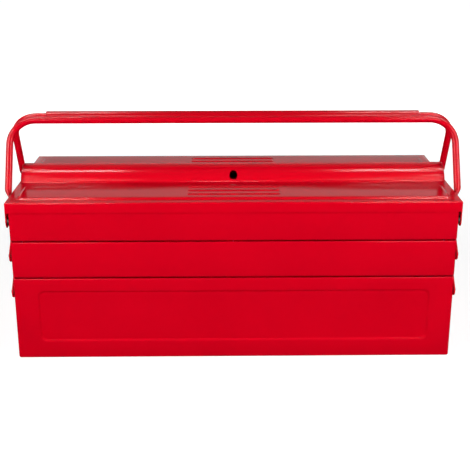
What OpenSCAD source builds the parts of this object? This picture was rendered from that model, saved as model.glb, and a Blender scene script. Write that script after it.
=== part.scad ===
// Five-tray cantilever tool box in folded sheet steel.
// X runs along the box, -Y is the front, Z is up, and the origin is under the middle of the base.
// The front half is drawn, and the rear half is its mirror image apart from its taller handle.

/* [Body] */
// length over the end flanges of the lids
lid_length = 560; // [440:5:680]
// depth of the closed box over the front faces of both lids
lid_depth = 236; // [216:2:290]
// thickness of the steel sheet
sheet = 1; // [0.8:0.1:1.2]
// how far each lid end stands out past the tray ends
end_overhang = 3.5; // [3.5:0.1:5]
// how far the lid front stands out past the tray fronts
front_overhang = 2; // [1.9:0.1:3]

/* [Trays] */
// height of the bottom tray
bottom_height = 108.5; // [90:0.5:140]
// rise from one tray to the next
tray_pitch = 48; // [44:1:58]
// gap between a rim and the floor of the tray above it
stack_gap = 1.2; // [0.8:0.1:2]
// gap between the front and rear trays of one level
split_gap = 1.2; // [0.8:0.1:2]
// outside radius of the upright corners
corner_radius = 3; // [2.5:0.1:5]
// outside radius of the folded floor edges
floor_radius = 2; // [1.5:0.1:2.5]
// thickness of the rolled rim
rim_thickness = 2.4; // [2.2:0.1:3]
// height of the rolled rim
rim_height = 7; // [5:0.5:10]
// distance from the tray ends to the pressed panels in the front and back of the bottom tray
base_panel_border = 29.5; // [20:0.5:80]
// lower edge of those panels above the ground
base_panel_low = 23; // [15:1:30]
// upper edge of those panels above the ground
base_panel_high = 92; // [75:1:93]
// depth of those panels
base_panel_depth = 2; // [1:0.1:3]
// compartments in each upper tray
upper_compartments = 3; // [1:1:5]
// compartments in each middle tray
middle_compartments = 2; // [1:1:5]

/* [Lids] */
// height of the flange round each lid
lid_flange = 13; // [10:0.5:14]
// outside radius of the folded lid edges
lid_edge_radius = 1.8; // [1.3:0.1:2.5]
// gap between the two lids
lid_gap = 0.8; // [0.6:0.1:1.2]
// height of the hollow spine where the lids meet
spine_height = 19; // [14:0.5:24]
// width of the spine at its foot
spine_width = 51; // [44:1:60]
// radius of the hollow bend along the foot of the spine
spine_fillet = 2.5; // [1.5:0.1:4]
// how far the spine ends short of the lid ends
spine_setback = 2.5; // [2:0.1:6]
// height of the raised lid panel
lid_panel_height = 2.5; // [1.5:0.1:3.5]
// border from the front edge and the lid ends to the raised panel
lid_panel_border = 12; // [9:0.5:16]
// border from the raised panel to the spine
spine_border = 16; // [12:0.5:20]
// length of the three stiffening beads in the raised panel
bead_length = 116; // [60:1:200]
// distance between the beads
bead_pitch = 16; // [12:0.5:18]
// diameter of the padlock hole through the spine
lock_hole = 10.6; // [8:0.1:12]
// height of the padlock hole above the lid border
lock_hole_height = 8; // [7:0.1:9]

/* [Linkage] */
// width of a link
link_width = 15; // [12:0.5:16]
// thickness of a link
link_thickness = 2; // [1.5:0.1:2]
// distance between two pivots side by side on one tray
pivot_spacing = 24; // [24:0.5:26]
// distance of the first pivots behind the lid front
first_pivot = 12; // [10:0.5:14]
// distance of the pivots below the rim
pivot_drop = 20.5; // [18:0.5:24]
// diameter of the rivet shafts
rivet_shaft = 5; // [4:0.1:6]
// diameter of the rivet heads
rivet_head = 10; // [8:0.1:10]
// distance of the lid hinge behind the lid front
hinge_setback = 9; // [8.5:0.1:10]
// distance of the lid hinge below the lid border
hinge_drop = 26; // [25:0.5:30]

/* [Handles] */
// diameter of the handle tube
tube_diameter = 9; // [8:0.1:10]
// gap between a handle leg and the lid end
leg_gap = 4.5; // [3.5:0.1:6]
// bend radius at the middle of the tube
bend_radius = 32; // [20:1:40]
// height of the front bar above the ground, at the middle of the tube
front_bar_height = 286.5; // [270:0.5:320]
// how much higher the rear bar stands
rear_bar_rise = 2.5; // [0:0.5:8]
// distance from the front bar to the sleeve on the rear bar, seen from above
bar_gap = 0.5; // [0.3:0.1:4]
// thickness of the flattened tube ends
flat_thickness = 3; // [2.5:0.1:4]
// width of the flattened tube ends
flat_width = 13; // [11:0.5:14]
// outside diameter of the grip sleeve
grip_diameter = 14; // [12.5:0.1:14]
// distance from the middle of a leg to the end of the grip sleeve
grip_setback = 45; // [41:0.5:120]

/* [Fits] */
// radial clearance of a hole on its rivet, and of the grip on its bar
running_fit = 0.05; // [0.03:0.01:0.1]
// side clearance between flat moving pieces
side_gap = 0.15; // [0.1:0.01:0.2]

/* [Hidden] */
$fn = 48;
eps = 0.5;
tray_half = lid_length / 2 - end_overhang;
tray_front = -lid_depth / 2 + front_overhang;
base_depth = -2 * tray_front;
tray_depth = -tray_front - split_gap / 2;
tray_mid = tray_front + tray_depth / 2;
tray_height = tray_pitch - stack_gap;
middle_floor = bottom_height + stack_gap;
upper_floor = middle_floor + tray_pitch;
// the upper rim stays low enough to clear the inside of the lid as it swings
lid_clearance = 1.3;
lid_top = upper_floor + tray_pitch + lid_clearance + sheet;
lid_low = lid_top - lid_flange;
lid_front_y = -lid_depth / 2;
lid_edge_y = -lid_gap / 2;
lid_half = lid_length / 2;

spine_radius = (pow(spine_width / 2, 2) + pow(spine_height, 2)) / (2 * spine_height);
spine_centre = lid_top + spine_height - spine_radius;
spine_half = lid_half - spine_setback;
spine_lip = 5;
fillet_z = lid_top + spine_fillet;
fillet_y = -sqrt(pow(spine_radius + spine_fillet, 2) - pow(fillet_z - spine_centre, 2));
lock_hole_z = lid_top + lock_hole_height;
// sideways shift of a 45 degree wall when the sheet thickness is taken off
wall_shift = sheet * tan(22.5);
lid_panel_low_y = lid_front_y + lid_panel_border;
lid_panel_high_y = -spine_width / 2 - spine_border;
bead_radius = 4;
bead_rise = 1.2;
lid_panel_corner = 5;
base_panel_corner = 6;
base_panel_length = 2 * (tray_half - base_panel_border);
divider_tab = 7;
// how far the dividers stay below the rims
divider_drop = 2;

// each link leans at 45 degrees when the box is closed
link_throw = tray_pitch;
outer_pivot_y = lid_front_y + first_pivot;
inner_pivot_y = outer_pivot_y + pivot_spacing;
base_pivot_z = bottom_height - pivot_drop;
middle_pivot_z = base_pivot_z + tray_pitch;
upper_pivot_z = middle_pivot_z + tray_pitch;
hinge_y = lid_front_y + hinge_setback;
hinge_z = lid_top - hinge_drop;
ear_radius = hinge_setback - sheet;

// layers outward from the tray ends
spacer = 1.2;
link_inner = tray_half + spacer + side_gap;
link_outer = link_inner + link_thickness;
link_head_x = link_outer + side_gap;
ear_inner = lid_half - sheet;
ear_head_x = lid_half + side_gap;
flat_inner = lid_half + leg_gap;
flat_outer = flat_inner + flat_thickness;
flat_head_x = flat_outer + side_gap;
head_height = 1.6;
inner_head_height = 1.2;
inner_head_radius = 3.8;
head_taper = 0.8;
spacer_radius = 5.5;
sleeve_inner = link_outer + side_gap;
sleeve_length = flat_inner - side_gap - sleeve_inner;
sleeve_diameter = 9;

leg_x = flat_inner + tube_diameter / 2;
handle_pivot_y = outer_pivot_y + link_throw;
flat_length = 9;
taper_length = 15;
taper_step = 0.1;
// a tube draws out a little where it is bent
bend_thinning = 0.02;
bar_offset = (tube_diameter / 2 + grip_diameter / 2 + bar_gap) / 2;
grip_length = 2 * (leg_x - grip_setback);
grip_bore = tube_diameter + 2 * running_fit;
grip_wall_end = 1.4;
grip_recess = 5;

// a copy at the rear of what is drawn at the front
module at_rear() {
    mirror([0, 1, 0]) children();
}

// the same piece again, turned round to face the rear
module turned_round() {
    rotate([0, 0, 180]) children();
}

// a copy at the left end of what is drawn at the right
module at_left() {
    mirror([1, 0, 0]) children();
}

// the same piece at both ends of the box
module both_ends() {
    children();
    at_left() children();
}

// a flat outline in Y and Z, given a thickness from x upward
module plate_at(x, thickness) {
    translate([x, 0, 0]) rotate([90, 0, 90]) linear_extrude(thickness) children();
}

// a rectangle with rounded corners, about its middle
module round_rectangle(x, y, r) {
    square([x - 2 * r, y], center = true);
    square([x, y - 2 * r], center = true);
    for (sx = [-1, 1], sy = [-1, 1])
        translate([sx * (x / 2 - r), sy * (y / 2 - r)]) circle(r);
}

// the section of a tray: upright sides, and rounded edges at the floor
module tray_section(width, height, r) {
    translate([-width / 2, r]) square([width, height - r]);
    translate([-width / 2 + r, 0]) square([width - 2 * r, height]);
    for (side = [-1, 1])
        translate([side * (width / 2 - r), r]) circle(r);
}

// a block with rounded upright corners and rounded lower edges
module tray_block(length, depth, height, corner, floor_r) {
    intersection() {
        linear_extrude(height) round_rectangle(length, depth, corner);
        translate([0, depth / 2, 0]) rotate([90, 0, 0]) linear_extrude(depth)
            tray_section(length, height, floor_r);
        translate([-length / 2, 0, 0]) rotate([90, 0, 90]) linear_extrude(length)
            tray_section(depth, height, floor_r);
    }
}

// the round edge on top of a rolled rim, at height zero
module rim_roll(length, depth) {
    r = rim_thickness / 2;
    straight_x = length - 2 * corner_radius;
    straight_y = depth - 2 * corner_radius;
    for (side = [-1, 1]) {
        translate([-straight_x / 2, side * (depth / 2 - r), 0]) rotate([0, 90, 0])
            cylinder(straight_x, r, r);
        translate([side * (length / 2 - r), straight_y / 2, 0]) rotate([90, 0, 0])
            cylinder(straight_y, r, r);
    }
    for (sx = [0, 1], sy = [0, 1])
        mirror([sx, 0, 0]) mirror([0, sy, 0]) translate([straight_x / 2, straight_y / 2, 0])
            rotate_extrude(angle = 90) translate([corner_radius - r, 0]) circle(r);
}

// an open tray of folded sheet with a rolled rim, standing on height zero
module tray(length, depth, height) {
    roll_z = height - rim_thickness / 2;
    difference() {
        union() {
            tray_block(length, depth, roll_z, corner_radius, floor_radius);
            translate([0, 0, roll_z]) rim_roll(length, depth);
        }
        translate([0, 0, sheet]) tray_block(
            length - 2 * sheet, depth - 2 * sheet, height - rim_height - sheet,
            corner_radius - sheet, floor_radius - sheet
        );
        translate([0, 0, height - rim_height - eps]) linear_extrude(rim_height - rim_thickness / 2 + eps)
            round_rectangle(length - 2 * rim_thickness, depth - 2 * rim_thickness, corner_radius - rim_thickness);
    }
}

// a pressed form with 45 degree walls, as high along +Z as its height
module pressed_form(length, depth, height, corner) {
    intersection() {
        translate([0, 0, -eps]) linear_extrude(height + eps) round_rectangle(length, depth, corner);
        translate([0, depth / 2, 0]) rotate([90, 0, 0]) linear_extrude(depth) pressed_section(length, height);
        translate([-length / 2, 0, 0]) rotate([90, 0, 90]) linear_extrude(length) pressed_section(depth, height);
    }
}

module pressed_section(width, height) {
    polygon([
        [-width / 2, -eps], [width / 2, -eps], [width / 2, 0], [width / 2 - height, height],
        [-width / 2 + height, height], [-width / 2, 0]
    ]);
}

// the pressed panel in a long wall of the bottom tray, turned so that it goes inward
module base_panel(shrink, push) {
    panel_z = (base_panel_low + base_panel_high) / 2;
    panel_height = base_panel_high - base_panel_low - 2 * shrink;
    translate([0, tray_front + push, panel_z]) rotate([-90, 0, 0])
        pressed_form(base_panel_length - 2 * shrink, panel_height, base_panel_depth, base_panel_corner);
}

// the round holes in a tray end for the rivets at y, at height z
module rivet_holes(places_y, z) {
    for (y = places_y)
        translate([-tray_half - eps, y, z]) rotate([0, 90, 0])
            cylinder(2 * (tray_half + eps), d = rivet_shaft + 2 * running_fit);
}

module bottom_tray() {
    color("firebrick") difference() {
        union() {
            tray(2 * tray_half, base_depth, bottom_height);
            base_panel(-wall_shift, sheet);
            at_rear() base_panel(-wall_shift, sheet);
        }
        base_panel(0, 0);
        at_rear() base_panel(0, 0);
        rivet_holes([outer_pivot_y, inner_pivot_y, -inner_pivot_y, -outer_pivot_y], base_pivot_z);
    }
}

module middle_tray() {
    color("firebrick") difference() {
        translate([0, tray_mid, middle_floor]) tray(2 * tray_half, tray_depth, tray_height);
        rivet_holes(
            [outer_pivot_y, inner_pivot_y, outer_pivot_y + link_throw, inner_pivot_y + link_throw],
            middle_pivot_z
        );
    }
}

module upper_tray() {
    color("firebrick") difference() {
        translate([0, tray_mid, upper_floor]) tray(2 * tray_half, tray_depth, tray_pitch);
        rivet_holes([outer_pivot_y + link_throw, inner_pivot_y + link_throw], upper_pivot_z);
        rivet_holes([hinge_y], hinge_z);
    }
}

// upright plates that split a tray of the given height into compartments
module dividers(count, floor_z, height) {
    inner_depth = tray_depth - 2 * sheet;
    plate_height = height - rim_height - sheet - divider_drop;
    color("indianred") for (i = [1:1:count - 1])
        translate([-tray_half + i * 2 * tray_half / count, tray_mid, floor_z + sheet]) {
            plate_at(-sheet / 2, sheet) tray_section(inner_depth, plate_height, floor_radius);
            for (side = [-1, 1])
                translate([0, side * (inner_depth - sheet) / 2 - sheet / 2, floor_radius])
                    cube([divider_tab, sheet, plate_height - floor_radius]);
        }
}

module middle_dividers() {
    dividers(middle_compartments, middle_floor, tray_height);
}

module upper_dividers() {
    dividers(upper_compartments, upper_floor, tray_pitch);
}

// the outside of a lid with a thickness taken off, closed at the end flanges
module lid_form(inset) {
    top = lid_top - inset;
    low = lid_low - (inset > 0 ? eps : 0);
    edge_y = lid_edge_y + (inset > 0 ? eps : 0);
    r = lid_edge_radius - inset;
    length = 2 * (lid_half - inset);
    intersection() {
        plate_at(-length / 2, length) lid_section(lid_front_y + inset, edge_y, low, top, r);
        translate([0, edge_y, 0]) rotate([90, 0, 0]) linear_extrude(lid_depth / 2)
            lid_end_section(length, low, top, r);
    }
    panel_length = 2 * (lid_half - lid_panel_border) - 2 * (inset > 0 ? wall_shift : 0);
    panel_depth = lid_panel_high_y - lid_panel_low_y - 2 * (inset > 0 ? wall_shift : 0);
    translate([0, (lid_panel_low_y + lid_panel_high_y) / 2, top])
        pressed_form(panel_length, panel_depth, lid_panel_height, lid_panel_corner);
    spine_form(inset, edge_y);
    for (i = [-1:1]) translate([0, i * bead_pitch, 0]) bead(bead_radius - inset);
}

module lid_section(front, back, low, top, r) {
    translate([front, low]) square([back - front, top - low - r]);
    translate([front + r, low]) square([back - front - r, top - low]);
    translate([front + r, top - r]) circle(r);
}

module lid_end_section(length, low, top, r) {
    translate([-length / 2, low]) square([length, top - low - r]);
    translate([-length / 2 + r, low]) square([length - 2 * r, top - low]);
    for (side = [-1, 1]) translate([side * (length / 2 - r), top - r]) circle(r);
}

// half of the hollow spine, round on top, with a hollow bend along its foot
module spine_form(inset, edge_y) {
    half = spine_half - inset;
    low = lid_top - inset - eps;
    // the bend touches the arch on the line between their two centres
    touch = (spine_radius - inset - eps) / (spine_radius + spine_fillet);
    touch_z = spine_centre + touch * (fillet_z - spine_centre);
    plate_at(-half, 2 * half) {
        intersection() {
            translate([0, spine_centre]) circle(spine_radius - inset, $fn = 96);
            translate([-spine_width, low]) square([spine_width + edge_y, spine_radius]);
        }
        difference() {
            polygon([[fillet_y, low], [touch * fillet_y, low], [touch * fillet_y, touch_z], [fillet_y, fillet_z]]);
            translate([fillet_y, fillet_z]) circle(spine_fillet + inset);
        }
    }
}

// one stiffening bead with round ends
module bead(r) {
    half = bead_length / 2 - bead_radius;
    centre_y = (lid_panel_low_y + lid_panel_high_y) / 2;
    translate([0, centre_y, lid_top + lid_panel_height + bead_rise - bead_radius]) {
        translate([-half, 0, 0]) rotate([0, 90, 0]) cylinder(2 * half, r, r);
        for (side = [-1, 1]) translate([side * half, 0, 0]) sphere(r);
    }
}

// the ear that hangs from a lid end and carries the hinge
module lid_ear() {
    fillet = 6;
    plate_at(ear_inner, sheet) difference() {
        union() {
            translate([hinge_y, hinge_z]) circle(ear_radius);
            translate([hinge_y - ear_radius, hinge_z]) square([2 * ear_radius, lid_low + eps - hinge_z]);
            translate([hinge_y + ear_radius, lid_low - fillet]) difference() {
                square([fillet, fillet + eps]);
                translate([fillet, 0]) circle(fillet);
            }
        }
        translate([hinge_y, hinge_z]) circle(rivet_shaft / 2 + running_fit);
    }
}

module lid() {
    color("red") difference() {
        union() {
            difference() {
                lid_form(0);
                lid_form(sheet);
            }
            // the sheet is turned down where the lids meet
            plate_at(-spine_half, 2 * spine_half) intersection() {
                translate([0, spine_centre]) circle(spine_radius, $fn = 96);
                translate([lid_edge_y - sheet, lid_top + spine_height - spine_lip]) square([sheet, spine_lip]);
            }
            both_ends() lid_ear();
        }
        translate([0, 0, lock_hole_z]) rotate([90, 0, 0]) cylinder(spine_width, d = lock_hole);
    }
}

// a strap with round ends that climbs from one pivot to the next, as in the closed box
module link(low_y, low_z) {
    reach = norm([link_throw, tray_pitch]);
    lean = atan2(tray_pitch, link_throw);
    color("crimson") translate([0, low_y, low_z]) rotate([lean, 0, 0]) plate_at(link_inner, link_thickness)
        difference() {
            union() {
                translate([0, -link_width / 2]) square([reach, link_width]);
                for (along = [0, reach]) translate([along, 0]) circle(link_width / 2);
            }
            for (along = [0, reach]) translate([along, 0]) circle(rivet_shaft / 2 + running_fit);
        }
}

module lower_link_a() {
    link(outer_pivot_y, base_pivot_z);
}

module lower_link_b() {
    link(inner_pivot_y, base_pivot_z);
}

module upper_link_a() {
    link(outer_pivot_y, middle_pivot_z);
}

module upper_link_b() {
    link(inner_pivot_y, middle_pivot_z);
}

// a rivet along +X through a tray end, with a head inside, a spacer and a domed head at head_x
module rivet(y, z, spacer_x, head_x) {
    head_r = rivet_head / 2;
    dome_r = (head_r * head_r + head_height * head_height) / (2 * head_height);
    inner_x = tray_half - sheet;
    color("silver") translate([0, y, z]) rotate([90, 0, 90]) {
        translate([0, 0, inner_x - inner_head_height])
            cylinder(inner_head_height, inner_head_radius - head_taper, inner_head_radius);
        translate([0, 0, inner_x - eps]) cylinder(head_x - inner_x + 2 * eps, d = rivet_shaft);
        translate([0, 0, tray_half]) cylinder(spacer_x - tray_half, spacer_radius, spacer_radius);
        intersection() {
            translate([0, 0, head_x + head_height - dome_r]) sphere(dome_r, $fn = 64);
            translate([0, 0, head_x]) cylinder(head_height, head_r, head_r);
        }
    }
}

module link_rivets(places_y, z) {
    both_ends() for (y = places_y) rivet(y, z, tray_half + spacer, link_head_x);
}

module base_rivets() {
    link_rivets([outer_pivot_y, inner_pivot_y, -inner_pivot_y, -outer_pivot_y], base_pivot_z);
}

module middle_rivets() {
    link_rivets(
        [outer_pivot_y, inner_pivot_y, outer_pivot_y + link_throw, inner_pivot_y + link_throw],
        middle_pivot_z
    );
}

module upper_rivets() {
    link_rivets([inner_pivot_y + link_throw], upper_pivot_z);
}

module handle_rivets() {
    both_ends() rivet(handle_pivot_y, upper_pivot_z, tray_half + spacer, flat_head_x);
}

module lid_rivets() {
    both_ends() rivet(hinge_y, hinge_z, ear_inner - side_gap, ear_head_x);
}

// the bent tube of a handle at the front, leaning back so that its bar is at bar_z
module handle(bar_z) {
    rise = [-bar_offset - handle_pivot_y, bar_z - upper_pivot_z];
    reach = norm(rise);
    color("red") translate([0, handle_pivot_y, upper_pivot_z]) rotate([-atan2(rise[0], rise[1]), 0, 0]) {
        translate([-leg_x + bend_radius, 0, reach]) rotate([0, 90, 0])
            cylinder(2 * (leg_x - bend_radius), d = tube_diameter);
        both_ends() {
            translate([leg_x - bend_radius, 0, reach - bend_radius]) rotate([90, 0, 0])
                rotate_extrude(angle = 90) translate([bend_radius, 0])
                    circle(d = tube_diameter - 2 * bend_thinning);
            // the round leg starts above the taper
            leg_low = flat_length + taper_length;
            translate([leg_x, 0, leg_low]) cylinder(reach - bend_radius - leg_low, d = tube_diameter);
            // the taper starts inside the flat and ends inside the tube, a little slimmer than both
            hull() {
                translate([leg_x, 0, leg_low]) cylinder(1, d = tube_diameter - 2 * taper_step, $fn = 32);
                translate([flat_inner + taper_step, -flat_width / 2 + taper_step, flat_length - 1])
                    cube([flat_thickness - 2 * taper_step, flat_width - 2 * taper_step, 1]);
            }
            plate_at(flat_inner, flat_thickness) difference() {
                union() {
                    circle(flat_width / 2);
                    translate([-flat_width / 2, 0]) square([flat_width, flat_length]);
                }
                circle(rivet_shaft / 2 + running_fit);
            }
        }
    }
}

// a loose tube on the straight part of the rear bar, counterbored at both ends
module grip_sleeve() {
    half = grip_length / 2;
    color("darkred") translate([0, bar_offset, front_bar_height + rear_bar_rise]) rotate([0, 90, 0])
        difference() {
            translate([0, 0, -half]) cylinder(grip_length, d = grip_diameter);
            translate([0, 0, -half - eps]) cylinder(grip_length + 2 * eps, d = grip_bore);
            for (side = [0, 1])
                mirror([0, 0, side]) translate([0, 0, half - grip_recess])
                    cylinder(grip_recess + eps, d = grip_diameter - 2 * grip_wall_end);
        }
}

// short sleeves on the handle rivets, between the links and the flattened tube ends
module handle_spacers() {
    color("silver") both_ends() translate([sleeve_inner, handle_pivot_y, upper_pivot_z]) rotate([0, 90, 0])
        difference() {
            cylinder(sleeve_length, d = sleeve_diameter);
            translate([0, 0, -eps]) cylinder(sleeve_length + 2 * eps, d = rivet_shaft + 2 * running_fit);
        }
}

bottom_tray();
middle_tray();  // middle_tray_front
at_rear() middle_tray();  // middle_tray_rear
upper_tray();  // upper_tray_front
at_rear() upper_tray();  // upper_tray_rear
middle_dividers();  // middle_dividers_front
at_rear() middle_dividers();  // middle_dividers_rear
upper_dividers();  // upper_dividers_front
at_rear() upper_dividers();  // upper_dividers_rear
lid();  // lid_front
turned_round() lid();  // lid_rear
handle(front_bar_height);  // handle_front
at_rear() handle(front_bar_height + rear_bar_rise);  // handle_rear
grip_sleeve();
handle_spacers();  // handle_spacers_front
at_rear() handle_spacers();  // handle_spacers_rear

at_left() lower_link_a();  // lower_link_front_a_left
lower_link_a();  // lower_link_front_a_right
at_left() lower_link_b();  // lower_link_front_b_left
lower_link_b();  // lower_link_front_b_right
at_left() upper_link_a();  // upper_link_front_a_left
upper_link_a();  // upper_link_front_a_right
at_left() upper_link_b();  // upper_link_front_b_left
upper_link_b();  // upper_link_front_b_right
at_rear() at_left() lower_link_a();  // lower_link_rear_a_left
at_rear() lower_link_a();  // lower_link_rear_a_right
at_rear() at_left() lower_link_b();  // lower_link_rear_b_left
at_rear() lower_link_b();  // lower_link_rear_b_right
at_rear() at_left() upper_link_a();  // upper_link_rear_a_left
at_rear() upper_link_a();  // upper_link_rear_a_right
at_rear() at_left() upper_link_b();  // upper_link_rear_b_left
at_rear() upper_link_b();  // upper_link_rear_b_right

base_rivets();
middle_rivets();  // middle_rivets_front
at_rear() middle_rivets();  // middle_rivets_rear
upper_rivets();  // upper_rivets_front
at_rear() upper_rivets();  // upper_rivets_rear
handle_rivets();  // handle_rivets_front
at_rear() handle_rivets();  // handle_rivets_rear
lid_rivets();  // lid_rivets_front
at_rear() lid_rivets();  // lid_rivets_rear
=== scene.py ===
import math

import bmesh
import bpy
from mathutils import Matrix, Vector


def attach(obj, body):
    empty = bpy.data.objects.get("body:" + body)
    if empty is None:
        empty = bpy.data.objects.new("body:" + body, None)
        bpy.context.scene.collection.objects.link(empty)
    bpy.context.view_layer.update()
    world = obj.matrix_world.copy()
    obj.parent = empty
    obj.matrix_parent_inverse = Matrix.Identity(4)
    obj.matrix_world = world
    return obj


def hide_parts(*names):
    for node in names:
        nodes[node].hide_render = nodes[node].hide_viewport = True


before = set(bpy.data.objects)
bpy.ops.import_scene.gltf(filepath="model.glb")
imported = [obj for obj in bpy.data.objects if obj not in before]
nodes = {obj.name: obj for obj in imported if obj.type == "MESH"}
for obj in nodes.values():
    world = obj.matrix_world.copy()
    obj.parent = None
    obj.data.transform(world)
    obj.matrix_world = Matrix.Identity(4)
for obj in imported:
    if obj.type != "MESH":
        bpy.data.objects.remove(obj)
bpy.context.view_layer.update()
bpy.ops.object.select_all(action="DESELECT")

# Camera: a long lens in front of the box and a little above it, looking down.
look_down = 18.8
turn = -0.79
camera_data = bpy.data.cameras.new("camera")
camera = bpy.data.objects.new("camera", camera_data)
bpy.context.collection.objects.link(camera)
camera_data.sensor_width = 36
camera_data.lens = 73.0
camera.location = (-0.0144, -1.2282, 0.5441)
camera.rotation_euler = (math.radians(90 - look_down), 0, math.radians(turn))
bpy.context.scene.camera = camera
bpy.context.scene.view_settings.view_transform = "Standard"

# Studio: a plain paper floor that keeps the shadow of the box, and a plain white surround.
# The floor's own glow is for the camera alone, so that it lights nothing.
floor_size = 16
bpy.ops.mesh.primitive_plane_add(size=floor_size)
floor = bpy.context.object
floor.name = "floor"
floor_paper = bpy.data.materials.new("floor_paper")
floor_paper.use_nodes = True
tree = floor_paper.node_tree
paper = tree.nodes["Principled BSDF"]
paper.inputs["Base Color"].default_value = (0.3, 0.3, 0.3, 1)
paper.inputs["Roughness"].default_value = 0.95
paper.inputs["Specular IOR Level"].default_value = 0.0
glow = tree.nodes.new("ShaderNodeEmission")
glow.inputs["Color"].default_value = (1, 1, 1, 1)
coords = tree.nodes.new("ShaderNodeTexCoord")
away = tree.nodes.new("ShaderNodeVectorMath")
away.operation = "LENGTH"
fade = tree.nodes.new("ShaderNodeMapRange")
fade.inputs["From Min"].default_value = 0.5
fade.inputs["From Max"].default_value = 1.6
fade.inputs["To Min"].default_value = 0.84
fade.inputs["To Max"].default_value = 1.0
tree.links.new(coords.outputs["Object"], away.inputs[0])
tree.links.new(away.outputs["Value"], fade.inputs["Value"])
tree.links.new(fade.outputs[0], glow.inputs["Strength"])
both = tree.nodes.new("ShaderNodeAddShader")
ray = tree.nodes.new("ShaderNodeLightPath")
choice = tree.nodes.new("ShaderNodeMixShader")
tree.links.new(paper.outputs[0], both.inputs[0])
tree.links.new(glow.outputs[0], both.inputs[1])
tree.links.new(ray.outputs["Is Camera Ray"], choice.inputs[0])
tree.links.new(paper.outputs[0], choice.inputs[1])
tree.links.new(both.outputs[0], choice.inputs[2])
tree.links.new(choice.outputs[0], tree.nodes["Material Output"].inputs["Surface"])
floor.data.materials.append(floor_paper)

world = bpy.data.worlds.new("surround")
bpy.context.scene.world = world
world.use_nodes = True
tree = world.node_tree
ambient = tree.nodes["Background"]
ambient.inputs["Color"].default_value = (1, 1, 1, 1)
ambient.inputs["Strength"].default_value = 0.07
white = tree.nodes.new("ShaderNodeBackground")
white.inputs["Color"].default_value = (1, 1, 1, 1)
white.inputs["Strength"].default_value = 1.0
ray = tree.nodes.new("ShaderNodeLightPath")
mirrored = tree.nodes.new("ShaderNodeMath")
mirrored.operation = "MAXIMUM"
shown = tree.nodes.new("ShaderNodeMath")
shown.operation = "MAXIMUM"
choice = tree.nodes.new("ShaderNodeMixShader")
tree.links.new(ray.outputs["Is Camera Ray"], mirrored.inputs[0])
tree.links.new(ray.outputs["Is Glossy Ray"], mirrored.inputs[1])
tree.links.new(mirrored.outputs[0], shown.inputs[0])
tree.links.new(ray.outputs["Is Transmission Ray"], shown.inputs[1])
tree.links.new(shown.outputs[0], choice.inputs[0])
tree.links.new(ambient.outputs[0], choice.inputs[1])
tree.links.new(white.outputs[0], choice.inputs[2])
tree.links.new(choice.outputs[0], tree.nodes["World Output"].inputs["Surface"])

# Lamps: two soft boxes in front, one at each side, and a low panel behind for the back of the box.
# The strips draw the lines of light along the legs, the bars and the spine. They are only seen mirrored
# in the paint and light nothing, and the low panel only lights and isn't mirrored. A row gives the name,
# place, aim, width, length and watts of a lamp, and whether it lights.
for name, place, aim, width, length, power, lights_all in (
    ("low_panel_behind", (0, 1.5, 0.18), (0, 0, 0.12), 1.8, 0.3, 11, True),
    ("soft_box_left", (-0.78, -0.92, 0.7), (0, 0, 0.18), 0.4, 0.6, 10.8, True),
    ("soft_box_right", (0.78, -0.92, 0.7), (0, 0, 0.18), 0.4, 0.6, 10.8, True),
    ("side_strip_left", (-0.98, -0.62, 0.9), (-0.29, -0.03, 0.23), 0.3, 0.5, 50, False),
    ("side_strip_right", (0.98, -0.62, 0.9), (0.29, -0.03, 0.23), 0.3, 0.5, 50, False),
    ("front_strip_left", (-0.5, -1.0, 0.64), (0, 0, 0.25), 0.24, 0.2, 13, False),
    ("front_strip_right", (0.5, -1.0, 0.64), (0, 0, 0.25), 0.24, 0.2, 13, False),
    ("high_strip_left", (-0.73, 0.03, 1.4), (-0.73, 0.03, 0), 0.64, 0.4, 78, False),
    ("high_strip_right", (0.76, 0.03, 1.4), (0.76, 0.03, 0), 0.64, 0.4, 78, False),
):
    lamp = bpy.data.lights.new(name, "AREA")
    lamp.shape = "RECTANGLE"
    lamp.size = width
    lamp.size_y = length
    lamp.energy = power
    holder = bpy.data.objects.new(name, lamp)
    bpy.context.collection.objects.link(holder)
    holder.location = place
    holder.rotation_euler = (Vector(aim) - Vector(place)).to_track_quat("-Z", "Y").to_euler()
    holder.visible_camera = False
    holder.visible_diffuse = lights_all
    holder.visible_glossy = name != "low_panel_behind"


# Bottom tray: one sheet of 1 mm steel, folded up and welded at its corners, with a rolled rim.
# A shallow panel is pressed into its front and its back. It is stoved in red enamel like the rest.
sheet = 0.001
tray_length = 0.553
bottom_depth = 0.232
bottom_height = 0.1085
corner_radius = 0.003
floor_radius = 0.002
rim = 0.0024
rim_height = 0.007
rim_round = 0.00115
wall_panel_half = 0.247
wall_panel_low = 0.023
wall_panel_high = 0.092
wall_panel_corner = 0.006
wall_panel_depth = 0.002
wall_panel_soft = 0.0009
# the panel is a little larger on the inner side of the sheet
wall_panel_spread = 0.0004
# the flat walls are larger than this, and the bends smaller
wall_area = 0.01
# points nearer than a hair touch, and points nearer than weld are one. An edge past crease is sharp,
# and a face past squarely looks along an axis.
hair = 1e-5
weld = 1e-6
crease = 0.6
squarely = 0.9


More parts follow.
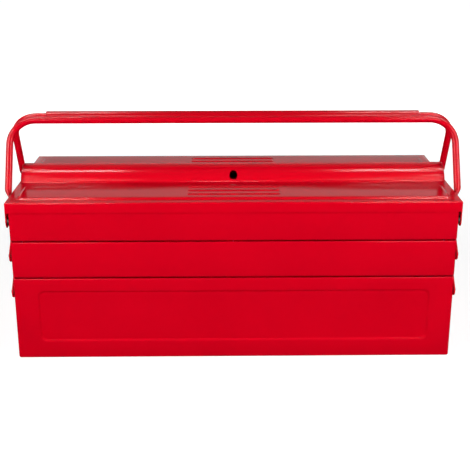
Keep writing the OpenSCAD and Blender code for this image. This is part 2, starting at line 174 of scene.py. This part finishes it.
def enamel(name, colour, roughness):
    """A glossy coat with a faint orange peel, a little deeper where it has run thick."""
    paint = bpy.data.materials.new(name)
    paint.use_nodes = True
    tree = paint.node_tree
    shader = tree.nodes["Principled BSDF"]
    shader.inputs["Specular IOR Level"].default_value = 0.034
    coords = tree.nodes.new("ShaderNodeTexCoord")
    drift = tree.nodes.new("ShaderNodeTexNoise")
    drift.inputs["Scale"].default_value = 11
    drift.inputs["Detail"].default_value = 3
    tone = tree.nodes.new("ShaderNodeValToRGB")
    tone.color_ramp.elements[0].position = 0.32
    tone.color_ramp.elements[0].color = [c * 0.94 for c in colour] + [1]
    tone.color_ramp.elements[1].position = 0.68
    tone.color_ramp.elements[1].color = list(colour) + [1]
    sheen = tree.nodes.new("ShaderNodeMapRange")
    sheen.inputs["To Min"].default_value = roughness - 0.04
    sheen.inputs["To Max"].default_value = roughness + 0.05
    peel = tree.nodes.new("ShaderNodeTexNoise")
    peel.inputs["Scale"].default_value = 650
    peel.inputs["Detail"].default_value = 1
    bump = tree.nodes.new("ShaderNodeBump")
    bump.inputs["Strength"].default_value = 0.02
    bump.inputs["Distance"].default_value = 0.0001
    tree.links.new(coords.outputs["Object"], drift.inputs["Vector"])
    tree.links.new(drift.outputs[0], tone.inputs[0])
    tree.links.new(tone.outputs[0], shader.inputs["Base Color"])
    tree.links.new(drift.outputs[0], sheen.inputs["Value"])
    tree.links.new(sheen.outputs[0], shader.inputs["Roughness"])
    tree.links.new(coords.outputs["Object"], peel.inputs["Vector"])
    tree.links.new(peel.outputs[0], bump.inputs["Height"])
    tree.links.new(bump.outputs[0], shader.inputs["Normal"])
    return paint


def choose(kind, wanted):
    """Selects, of the mesh in edit mode, the faces, edges or verts for which wanted() holds."""
    mesh = bmesh.from_edit_mesh(bpy.context.object.data)
    mesh.normal_update()
    bpy.ops.mesh.select_mode(type={"faces": "FACE", "edges": "EDGE", "verts": "VERT"}[kind])
    bpy.ops.mesh.select_all(action="DESELECT")
    for part in getattr(mesh, kind):
        if wanted(part):
            part.select = True
    mesh.select_flush_mode()
    bmesh.update_edit_mesh(bpy.context.object.data)


def middle(part):
    """The middle of a face or an edge."""
    if isinstance(part, bmesh.types.BMFace):
        return part.calc_center_bounds()
    return (part.verts[0].co + part.verts[1].co) / 2


def sharp(edge):
    """Whether the two faces at an edge meet at a sharp angle."""
    return edge.calc_face_angle(0) > crease


def fit_chosen(low, high):
    """Stretches and moves what is selected so that it fills the box from low to high."""
    mesh = bmesh.from_edit_mesh(bpy.context.object.data)
    points = [v.co for v in mesh.verts if v.select]
    now_low = Vector([min(p[i] for p in points) for i in range(3)])
    now_high = Vector([max(p[i] for p in points) for i in range(3)])
    centre = (now_low + now_high) / 2
    size = now_high - now_low
    goal = Vector(high) - Vector(low)
    factor = [goal[i] / size[i] if size[i] > hair else 1 for i in range(3)]
    bpy.ops.transform.resize(value=factor, center_override=centre)
    bpy.ops.transform.translate(value=(Vector(low) + Vector(high)) / 2 - centre)


def press_panel(facing, low, high, corner, push, softness):
    """Presses the chosen flat face, which looks along facing, in or out over the box from low to high."""
    side = Vector(facing)
    # the slope round the panel is as wide as it is deep, and reach takes it in with a little to spare
    reach = 1.2 * abs(push)

    def near(edge):
        return all(low[i] - reach < middle(edge)[i] < high[i] + reach for i in range(3))

    def slant(edge):
        return abs((edge.verts[0].co - edge.verts[1].co).dot(side)) > 0.9 * abs(push)

    bpy.ops.mesh.inset(thickness=4 * sheet)
    fit_chosen(low, high)
    bpy.ops.mesh.inset(thickness=abs(push), depth=push)
    choose("edges", lambda e: near(e) and slant(e))
    bpy.ops.mesh.bevel(offset=corner, segments=5)
    choose("edges", lambda e: near(e) and sharp(e))
    bpy.ops.mesh.bevel(offset=softness, segments=4)
    bpy.ops.mesh.select_all(action="SELECT")
    bpy.ops.mesh.remove_doubles(threshold=weld)


def folded_tray(name, depth, height, centre_y, floor_z):
    """An open tray with round corners, soft floor edges and a rolled rim."""
    top = floor_z + height
    bpy.ops.mesh.primitive_cube_add(size=1, location=(0, centre_y, floor_z + height / 2))
    tray = bpy.context.object
    tray.name = name
    tray.scale = (tray_length, depth, height)
    bpy.ops.object.transform_apply(location=True, rotation=True, scale=True)
    bpy.ops.object.mode_set(mode="EDIT")
    choose("edges", lambda e: abs(e.verts[0].co.z - e.verts[1].co.z) > height / 2)
    bpy.ops.mesh.bevel(offset=corner_radius, segments=5)
    choose("edges", lambda e: middle(e).z < floor_z + hair)
    bpy.ops.mesh.bevel(offset=floor_radius, segments=4)
    # the mouth is sunk from the top face, first as wide as the rim leaves it, then up to the walls
    choose("faces", lambda f: f.normal.z > squarely and middle(f).z > top - hair)
    bpy.ops.mesh.inset(thickness=rim)
    bpy.ops.mesh.extrude_region_move(TRANSFORM_OT_translate={"value": (0, 0, -rim_height)})
    bpy.ops.mesh.extrude_region_move()
    wider = (tray_length - 2 * sheet) / (tray_length - 2 * rim)
    deeper = (depth - 2 * sheet) / (depth - 2 * rim)
    bpy.ops.transform.resize(value=(wider, deeper, 1), center_override=(0, centre_y, top - rim_height))
    bpy.ops.mesh.extrude_region_move(
        TRANSFORM_OT_translate={"value": (0, 0, -(height - rim_height - sheet))}
    )
    choose("edges", lambda e: middle(e).z > top - hair and sharp(e))
    bpy.ops.mesh.bevel(offset=rim_round, segments=4)
    bpy.ops.object.mode_set(mode="OBJECT")
    return tray


def finish_sheet(piece, paint):
    """Smooth bends, crisp flats, and the coat of paint."""
    smooth_below = 32
    bpy.ops.object.select_all(action="DESELECT")
    piece.select_set(True)
    bpy.context.view_layer.objects.active = piece
    bpy.ops.object.shade_smooth_by_angle(angle=math.radians(smooth_below))
    piece.data.materials.clear()
    piece.data.materials.append(paint)


tray_paint = enamel("tray_paint", (0.66, 0.0, 0.011), 0.14)
bottom_tray = folded_tray("bottom_tray_folded", bottom_depth, bottom_height, 0, 0)
bpy.ops.object.mode_set(mode="EDIT")
inner_wall = bottom_depth / 2 - sheet
for facing in (-1, 1):
    # the outer skin of the wall comes first, then the inner one, which looks the other way
    for outward, wall, spread in ((1, bottom_depth / 2, 0), (-1, inner_wall, wall_panel_spread)):
        normal = facing * outward
        skin = facing * wall
        half_x = wall_panel_half + spread
        low_z = wall_panel_low - spread
        high_z = wall_panel_high + spread
        choose("faces", lambda f: f.normal.y * normal > squarely and abs(middle(f).y - skin) < hair
               and f.calc_area() > wall_area)
        press_panel(
            (0, normal, 0), (-half_x, skin, low_z), (half_x, skin, high_z),
            wall_panel_corner, -outward * wall_panel_depth, wall_panel_soft
        )
bpy.ops.object.mode_set(mode="OBJECT")
finish_sheet(bottom_tray, tray_paint)
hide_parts("bottom_tray")
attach(bottom_tray, "base")

# Middle and upper trays: the same folding, half as deep, one in front and one behind on each level.
# They hang on the links, and stand clear of each other by the thickness of a fingernail.
tray_depth = 0.1154
tray_face_y = 0.116
middle_floor = 0.1097
middle_height = 0.0468
upper_floor = 0.1577
upper_height = 0.048
for half, behind in (("front", -1), ("rear", 1)):
    centre_y = behind * (tray_face_y - tray_depth / 2)
    for level, height, floor_z in (
        ("middle", middle_height, middle_floor), ("upper", upper_height, upper_floor)
    ):
        tray = folded_tray(f"{level}_tray_{half}_folded", tray_depth, height, centre_y, floor_z)
        finish_sheet(tray, tray_paint)
        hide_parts(f"{level}_tray_{half}")
        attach(tray, f"{level}_{half}")

# Lids: each is one pressed sheet, a flange all round, a raised panel and half of the hollow spine.
# An ear at each end of the flange hangs down to the hinge rivet. The rear lid is the same pressing
# turned round.
lid_half = 0.28
lid_front_y = -0.118
lid_edge_y = -0.0004
lid_low = 0.195
lid_top = 0.208
fold_radius = 0.0018
lid_panel_half = 0.268
lid_panel_front_y = -0.106
lid_panel_rear_y = -0.0415
lid_panel_corner = 0.005
lid_panel_rise = 0.0025
lid_panel_soft = 0.0012
bead_pitch = 0.016
bead_rise = 0.0013
bead_half_width = 0.0028
bead_stretch = 0.0552
bead_sink = 0.0001
bead_root = 0.0004
spine_top = 0.227
spine_foot_y = -0.0255
spine_half = 0.2775
spine_fillet = 0.0024
spine_hem = 0.005
cap_round = 0.0012
edge_round = 0.0005
hinge = (-0.109, 0.182)
ear_rear_y = -0.101
ear_below = 0.008
ear_round = 0.0075
lock_hole_radius = 0.0053
lock_hole_z = 0.216
rivet_hole = 0.00255
# a drill through both ends of the box, and one through the spine
drill_half = 0.3
lock_drill = (-0.05, 0.01)
# an edge across the lid has its middle within this of the centre line, and one at an end doesn't
near_centre = 0.1
lid_paint = enamel("lid_paint", (0.68, 0.0, 0.011), 0.14)


def cut(place, facing):
    """Cuts what is selected along a plane."""
    bpy.ops.mesh.bisect(plane_co=place, plane_no=facing)


def on_top(face):
    """Whether a face is part of the flat top of the lid."""
    return face.normal.z > squarely and abs(middle(face).z - lid_top) < hair


def spine_strip(face):
    """Whether a face is part of the flat top where the spine will stand."""
    return on_top(face) and middle(face).y > spine_foot_y


def at_spine_foot(edge):
    """Whether an edge is the long one at the foot of the spine."""
    return abs(middle(edge).y - spine_foot_y) < hair and abs(middle(edge).x) < near_centre


def at_lid_edge(edge, reach):
    """Whether an edge lies where the two lids meet, within reach of the top of the spine."""
    return abs(middle(edge).y - lid_edge_y) < 2 * hair and middle(edge).z > spine_top - reach


def apply_modifier(kind, **settings):
    """Adds a modifier to the active piece and applies it."""
    piece = bpy.context.object
    modifier = piece.modifiers.new(kind.lower(), kind)
    for name, value in settings.items():
        setattr(modifier, name, value)
    bpy.ops.object.modifier_apply(modifier=modifier.name)


def combine(piece, tool, operation):
    """Adds the tool's shape to the piece, or takes it away, and removes the tool."""
    bpy.ops.object.select_all(action="DESELECT")
    bpy.context.view_layer.objects.active = piece
    piece.select_set(True)
    apply_modifier("BOOLEAN", object=tool, operation=operation, solver="EXACT")
    bpy.data.objects.remove(tool)


def round_bar(radius, start, end, segments):
    """A plain round bar from start to end, to cut holes with or to shape further."""
    along = Vector(end) - Vector(start)
    bpy.ops.mesh.primitive_cylinder_add(
        vertices=segments, radius=radius, depth=along.length, location=(Vector(start) + Vector(end)) / 2,
        rotation=along.to_track_quat("Z", "Y").to_euler()
    )
    bpy.ops.object.transform_apply(location=True, rotation=True, scale=True)
    return bpy.context.object


bpy.ops.mesh.primitive_cube_add(
    size=1, location=(0, (lid_front_y + lid_edge_y) / 2, (lid_low + lid_top) / 2)
)
lid = bpy.context.object
lid.name = "lid_front_pressed"
lid.scale = (2 * lid_half, lid_edge_y - lid_front_y, lid_top - lid_low)
bpy.ops.object.transform_apply(location=True, rotation=True, scale=True)
bpy.ops.object.mode_set(mode="EDIT")
choose("faces", lambda f: f.normal.z < -squarely or f.normal.y > squarely)
bpy.ops.mesh.delete(type="FACE")
choose("edges", lambda e: len(e.link_faces) == 2 and sharp(e))
bpy.ops.mesh.bevel(offset=fold_radius, segments=4)
# the raised panel
choose("faces", on_top)
cut((0, spine_foot_y, 0), (0, 1, 0))
choose("faces", lambda f: on_top(f) and middle(f).y < spine_foot_y)
press_panel(
    (0, 0, 1), (-lid_panel_half, lid_panel_front_y, lid_top), (lid_panel_half, lid_panel_rear_y, lid_top),
    lid_panel_corner, lid_panel_rise, lid_panel_soft
)
# the spine is the foot edge swept up round its arc, closed by a cap at each end
choose("faces", spine_strip)
cut((-spine_half, 0, 0), (1, 0, 0))
choose("faces", lambda f: spine_strip(f) and middle(f).x > -spine_half)
cut((spine_half, 0, 0), (1, 0, 0))
choose("faces", lambda f: spine_strip(f) and abs(middle(f).x) < near_centre)
bpy.ops.mesh.delete(type="FACE")
spine_rise = spine_top - lid_top
arc_radius = (spine_foot_y**2 + spine_rise**2) / (2 * spine_rise)
arc_z = spine_top - arc_radius
foot_angle = math.atan2(lid_top - arc_z, spine_foot_y)
edge_angle = math.atan2(math.sqrt(arc_radius**2 - lid_edge_y**2), lid_edge_y)
choose("edges", at_spine_foot)
bpy.ops.mesh.spin(steps=10, angle=foot_angle - edge_angle, center=(0, 0, arc_z), axis=(1, 0, 0))
for end in (-1, 1):
    choose("edges", lambda e: all(abs(v.co.x * end - spine_half) < hair and v.co.z > lid_top - hair
                                  and v.co.y > spine_foot_y - hair for v in e.verts))
    bpy.ops.mesh.edge_face_add()
choose("edges", lambda e: at_lid_edge(e, 10 * hair))
bpy.ops.mesh.extrude_region_move(TRANSFORM_OT_translate={"value": (0, 0, -spine_hem)})
choose("edges", at_spine_foot)
bpy.ops.mesh.bevel(offset=spine_fillet, segments=5)
choose("edges", lambda e: all(abs(abs(v.co.x) - spine_half) < hair and v.co.z > lid_top + sheet
                              for v in e.verts)
       and abs(middle(e).x) > near_centre and sharp(e) and len(e.link_faces) == 2)
bpy.ops.mesh.bevel(offset=cap_round, segments=3)
# the ears are drawn down last, from the lower edge of each end
for end in (-1, 1):
    choose("faces", lambda f: abs(middle(f).x * end - lid_half) < hair)
    cut((0, ear_rear_y, 0), (0, 1, 0))
    choose("edges", lambda e: abs(middle(e).z - lid_low) < hair and middle(e).y < ear_rear_y
           and middle(e).x * end > lid_half - hair)
    bpy.ops.mesh.extrude_region_move(TRANSFORM_OT_translate={"value": (0, 0, hinge[1] - lid_low)})
    bpy.ops.mesh.extrude_region_move(TRANSFORM_OT_translate={"value": (0, 0, -ear_below)})
    choose("verts", lambda v: v.co.z < hinge[1] - ear_below + hair and v.co.x * end > 0)
    bpy.ops.mesh.bevel(affect="VERTICES", offset=ear_round, segments=8)
bpy.ops.mesh.select_all(action="SELECT")
bpy.ops.mesh.normals_make_consistent(inside=False)
bpy.ops.object.mode_set(mode="OBJECT")
apply_modifier("SOLIDIFY", thickness=sheet, offset=-1, use_quality_normals=True)
bpy.ops.object.mode_set(mode="EDIT")
choose("edges", lambda e: at_lid_edge(e, 20 * hair))
bpy.ops.mesh.bevel(offset=edge_round, segments=3)
bpy.ops.object.mode_set(mode="OBJECT")
# three beads stand on the middle of the panel
panel_top = lid_top + lid_panel_rise
panel_middle_y = (lid_panel_front_y + lid_panel_rear_y) / 2
for step in (-1, 0, 1):
    bpy.ops.mesh.primitive_uv_sphere_add(
        segments=16, ring_count=16, radius=1, rotation=(0, math.pi / 2, 0),
        location=(0, panel_middle_y + step * bead_pitch, panel_top - bead_sink)
    )
    bead = bpy.context.object
    bead.scale = (bead_rise, bead_half_width, bead_half_width)
    bpy.ops.object.transform_apply(location=True, rotation=True, scale=True)
    bpy.ops.object.mode_set(mode="EDIT")
    for end in (-1, 1):
        choose("verts", lambda v: v.co.x * end > hair)
        bpy.ops.transform.translate(value=(end * bead_stretch, 0, 0))
    bpy.ops.mesh.select_all(action="SELECT")
    bpy.ops.mesh.bisect(
        plane_co=(0, 0, panel_top - bead_root), plane_no=(0, 0, 1), clear_inner=True, use_fill=True
    )
    bpy.ops.object.mode_set(mode="OBJECT")
    combine(lid, bead, "UNION")
lock_start, lock_end = [(0, place_y, lock_hole_z) for place_y in lock_drill]
combine(lid, round_bar(lock_hole_radius, lock_start, lock_end, 40), "DIFFERENCE")
combine(lid, round_bar(rivet_hole, (-drill_half, *hinge), (drill_half, *hinge), 24), "DIFFERENCE")
finish_sheet(lid, lid_paint)
rear_lid = lid.copy()
rear_lid.data = lid.data.copy()
rear_lid.name = "lid_rear_pressed"
bpy.context.collection.objects.link(rear_lid)
rear_lid.data.transform(Matrix.Rotation(math.pi, 4, "Z"))
for half, piece in (("front", lid), ("rear", rear_lid)):
    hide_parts(f"lid_{half}")
    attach(piece, f"lid_{half}")

# Links: sixteen flat straps of 2 mm steel, punched and deburred, two to each end of each level.
# They lean inward at 45 degrees while the box is shut.
tray_pitch = 0.048
link_reach = math.hypot(tray_pitch, tray_pitch)
link_half_width = 0.0075
link_thickness = 0.002
link_x = 0.27885
link_deburr = 0.0004
link_drill = (0.27, 0.29)
base_pivot_z = 0.088
outer_pivot_y = -0.106
pivot_spacing = 0.024
link_paint = enamel("link_paint", (0.6, 0.0, 0.01), 0.24)
bpy.ops.mesh.primitive_cylinder_add(
    vertices=40, radius=link_half_width, depth=link_thickness, location=(link_x, 0, 0),
    rotation=(0, math.pi / 2, 0)
)
first_link = bpy.context.object
bpy.ops.object.transform_apply(location=True, rotation=True, scale=True)
bpy.ops.object.mode_set(mode="EDIT")
choose("verts", lambda v: v.co.y > hair)
bpy.ops.transform.translate(value=(0, link_reach, 0))
choose("edges", sharp)
bpy.ops.mesh.bevel(offset=link_deburr, segments=3)
bpy.ops.object.mode_set(mode="OBJECT")
for place_y in (0, link_reach):
    drill = round_bar(rivet_hole, (link_drill[0], place_y, 0), (link_drill[1], place_y, 0), 24)
    combine(first_link, drill, "DIFFERENCE")
first_link.data.transform(Matrix.Rotation(math.radians(45), 4, "X"))
finish_sheet(first_link, link_paint)
for half in ("front", "rear"):
    for level, low_z in (("lower", base_pivot_z), ("upper", base_pivot_z + tray_pitch)):
        for letter, low_y in (("a", outer_pivot_y), ("b", outer_pivot_y + pivot_spacing)):
            for end in ("left", "right"):
                strap = first_link.copy()
                strap.data = first_link.data.copy()
                strap.name = f"{level}_strap_{half}_{letter}_{end}"
                bpy.context.collection.objects.link(strap)
                shift = -2 * link_x if (end == "left") == (half == "front") else 0
                strap.data.transform(Matrix.Translation((shift, low_y, low_z)))
                if half == "rear":
                    strap.data.transform(Matrix.Rotation(math.pi, 4, "Z"))
                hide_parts(f"{level}_link_{half}_{letter}_{end}")
                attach(strap, f"{level}_links_{half}_{letter}")
bpy.data.objects.remove(first_link)

# Handles: 9 mm steel tube, bent square at both ends of the bar. The tips are pressed flat
# and turn on the rivets of the upper trays. The rear handle is a little taller than the front one.
tube_radius = 0.0045
leg_x = 0.289
bend = 0.032
taper_top = 0.024
tip_top = 0.009
tip_x = 0.286
tip_half_thickness = 0.0015
tip_half_width = 0.0065
handle_pivot_y = 0.058
handle_pivot_z = 0.184
bar_y = 0.006
front_bar_z = 0.2865
rear_bar_z = 0.289
handle_paint = enamel("handle_paint", (0.66, 0.0, 0.011), 0.14)


def ring_to(centre_x, half_x, half_y, z):
    """Draws the open ring of the tube on to a section half_x by half_y, with flat sides, at height z."""
    bpy.ops.mesh.extrude_region_move()
    mesh = bmesh.from_edit_mesh(bpy.context.object.data)
    ring = [v for v in mesh.verts if v.select]
    low = [min(v.co[i] for v in ring) for i in (0, 1)]
    high = [max(v.co[i] for v in ring) for i in (0, 1)]
    for v in ring:
        across = 2 * (v.co.x - low[0]) / (high[0] - low[0]) - 1
        along = 2 * (v.co.y - low[1]) / (high[1] - low[1]) - 1
        v.co = (centre_x + across * half_x, along * half_y, z)
    bmesh.update_edit_mesh(bpy.context.object.data)


def flatten_end(end):
    """Draws a leg of the tube down into its flat tip, which is closed and rounded at the bottom."""
    choose("verts", lambda v: abs(v.co.z - taper_top) < hair and v.co.x * end > 0)
    steps = 6
    for step in range(1, steps + 1):
        share = step / steps
        ease = share * share * (3 - 2 * share)
        ring_to(
            end * (leg_x + ease * (tip_x - leg_x)),
            tube_radius + ease * (tip_half_thickness - tube_radius),
            tube_radius + ease * (tip_half_width - tube_radius),
            taper_top - share * (taper_top - tip_top)
        )
    ring_to(end * tip_x, tip_half_thickness, tip_half_width, 0)
    for degrees in (20, 40, 58, 72, 82):
        angle = math.radians(degrees)
        half_width = tip_half_width * math.cos(angle)
        ring_to(end * tip_x, tip_half_thickness, half_width, -tip_half_width * math.sin(angle))
    bpy.ops.mesh.edge_face_add()


def bent_handle(name, reach):
    """The handle upright, its rivets on the X axis and its bar at height reach."""
    bpy.ops.mesh.primitive_circle_add(vertices=32, radius=tube_radius, location=(leg_x, 0, taper_top))
    handle = bpy.context.object
    handle.name = name
    bpy.ops.object.transform_apply(location=True, rotation=True, scale=True)
    bpy.ops.object.mode_set(mode="EDIT")
    bpy.ops.mesh.select_all(action="SELECT")
    rise = reach - bend - taper_top
    bar = leg_x - bend
    bpy.ops.mesh.extrude_region_move(TRANSFORM_OT_translate={"value": (0, 0, rise)})
    bpy.ops.mesh.spin(steps=14, angle=math.pi / 2, center=(bar, 0, reach - bend), axis=(0, 1, 0))
    bpy.ops.mesh.extrude_region_move(TRANSFORM_OT_translate={"value": (-2 * bar, 0, 0)})
    bpy.ops.mesh.spin(steps=14, angle=math.pi / 2, center=(-bar, 0, reach - bend), axis=(0, 1, 0))
    bpy.ops.mesh.extrude_region_move(TRANSFORM_OT_translate={"value": (0, 0, -rise)})
    for end in (-1, 1):
        flatten_end(end)
    bpy.ops.mesh.select_all(action="SELECT")
    bpy.ops.mesh.remove_doubles(threshold=weld)
    bpy.ops.mesh.normals_make_consistent(inside=False)
    bpy.ops.object.mode_set(mode="OBJECT")
    combine(handle, round_bar(rivet_hole, (-drill_half, 0, 0), (drill_half, 0, 0), 24), "DIFFERENCE")
    return handle


for half, behind, bar_z in (("front", -1, front_bar_z), ("rear", 1, rear_bar_z)):
    across = handle_pivot_y - bar_y
    up = bar_z - handle_pivot_z
    handle = bent_handle(f"handle_{half}_tube", math.hypot(across, up))
    handle.data.transform(Matrix.Rotation(behind * math.atan2(across, up), 4, "X"))
    handle.data.transform(Matrix.Translation((0, behind * handle_pivot_y, handle_pivot_z)))
    finish_sheet(handle, handle_paint)
    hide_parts(f"handle_{half}")
    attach(handle, f"handle_{half}")

# Grip sleeve: a smooth plastic tube slipped loosely over the rear bar, its ends recessed.
# The step at the bottom of each recess closes in to the bore.
sleeve_radius = 0.007
sleeve_half = 0.244
sleeve_edge = 0.0004
sleeve_lip = 0.001
sleeve_recess = 0.005
sleeve_step = 0.00105
sleeve_end_area = 5e-5
bar_line = (bar_y, rear_bar_z)
grip_plastic = enamel("grip_plastic", (0.56, 0.0, 0.009), 0.2)
sleeve = round_bar(sleeve_radius, (-sleeve_half, *bar_line), (sleeve_half, *bar_line), 48)
sleeve.name = "grip_sleeve_tube"
bpy.ops.object.mode_set(mode="EDIT")
choose("edges", lambda e: abs(abs(middle(e).x) - sleeve_half) < hair)
bpy.ops.mesh.bevel(offset=sleeve_edge, segments=3)
choose("faces", lambda f: abs(f.normal.x) > squarely and f.calc_area() > sleeve_end_area)
bpy.ops.mesh.inset(thickness=sleeve_lip)
for end in (-1, 1):
    choose("faces", lambda f: f.normal.x * end > squarely and f.calc_area() > sleeve_end_area)
    bpy.ops.mesh.extrude_region_move(TRANSFORM_OT_translate={"value": (-end * sleeve_recess, 0, 0)})
    bpy.ops.mesh.inset(thickness=sleeve_step)
choose("faces", lambda f: abs(f.normal.x) > squarely and f.calc_area() > sleeve_end_area)
bpy.ops.mesh.delete(type="FACE")
choose("edges", lambda e: e.is_boundary)
bpy.ops.mesh.bridge_edge_loops()
bpy.ops.object.mode_set(mode="OBJECT")
finish_sheet(sleeve, grip_plastic)
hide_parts("grip_sleeve")
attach(sleeve, "handle_rear")

# Dividers: thin steel plates spot-welded across the trays, with small feet turned over. Satin red.
divider_paint = enamel("divider_paint", (0.6, 0.0, 0.01), 0.34)
for level in ("middle", "upper"):
    for half in ("front", "rear"):
        divider = nodes[f"{level}_dividers_{half}"]
        divider.data.materials.clear()
        divider.data.materials.append(divider_paint)

# Rivets and spacer sleeves: turned steel, coloured near black as painted shade for the ends of the box,
# which lie in shade under the lid ears.
# A rivet holds a link or the ear of a lid on a collar, and the longest ones also hold the spacer sleeves
# and the flat tips of the handles.
rivet_steel = bpy.data.materials.new("rivet_steel")
rivet_steel.use_nodes = True
tree = rivet_steel.node_tree
shader = tree.nodes["Principled BSDF"]
shader.inputs["Metallic"].default_value = 1.0
coords = tree.nodes.new("ShaderNodeTexCoord")
cloud = tree.nodes.new("ShaderNodeTexNoise")
cloud.inputs["Scale"].default_value = 260
cloud.inputs["Detail"].default_value = 4
# the near-black colour is painted shade, standing for the shade round the rivets at the ends of the box
painted_shade_black = tree.nodes.new("ShaderNodeValToRGB")
painted_shade_black.color_ramp.elements[0].position = 0.3
painted_shade_black.color_ramp.elements[0].color = (0.035, 0.03, 0.03, 1)
painted_shade_black.color_ramp.elements[1].position = 0.7
painted_shade_black.color_ramp.elements[1].color = (0.075, 0.062, 0.06, 1)
rubbed = tree.nodes.new("ShaderNodeMapRange")
rubbed.inputs["To Min"].default_value = 0.34
rubbed.inputs["To Max"].default_value = 0.52
bump = tree.nodes.new("ShaderNodeBump")
bump.inputs["Strength"].default_value = 0.12
bump.inputs["Distance"].default_value = 0.0002
tree.links.new(coords.outputs["Object"], cloud.inputs["Vector"])
tree.links.new(cloud.outputs[0], painted_shade_black.inputs[0])
tree.links.new(painted_shade_black.outputs[0], shader.inputs["Base Color"])
tree.links.new(cloud.outputs[0], rubbed.inputs["Value"])
tree.links.new(rubbed.outputs[0], shader.inputs["Roughness"])
tree.links.new(cloud.outputs[0], bump.inputs["Height"])
tree.links.new(bump.outputs[0], shader.inputs["Normal"])
for name, body in (
    ("base_rivets", "base"),
    ("middle_rivets_front", "middle_front"), ("middle_rivets_rear", "middle_rear"),
    ("upper_rivets_front", "upper_front"), ("upper_rivets_rear", "upper_rear"),
    ("handle_rivets_front", "upper_front"), ("handle_rivets_rear", "upper_rear"),
    ("handle_spacers_front", "upper_front"), ("handle_spacers_rear", "upper_rear"),
    ("lid_rivets_front", "upper_front"), ("lid_rivets_rear", "upper_rear"),
):
    turned = bpy.data.objects.new(f"{name}_turned", nodes[name].data.copy())
    bpy.context.collection.objects.link(turned)
    bpy.ops.object.select_all(action="DESELECT")
    bpy.context.view_layer.objects.active = turned
    turned.select_set(True)
    bpy.ops.object.mode_set(mode="EDIT")
    bpy.ops.mesh.select_all(action="SELECT")
    bpy.ops.mesh.remove_doubles(threshold=weld)
    bpy.ops.object.mode_set(mode="OBJECT")
    finish_sheet(turned, rivet_steel)
    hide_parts(name)
    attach(turned, body)
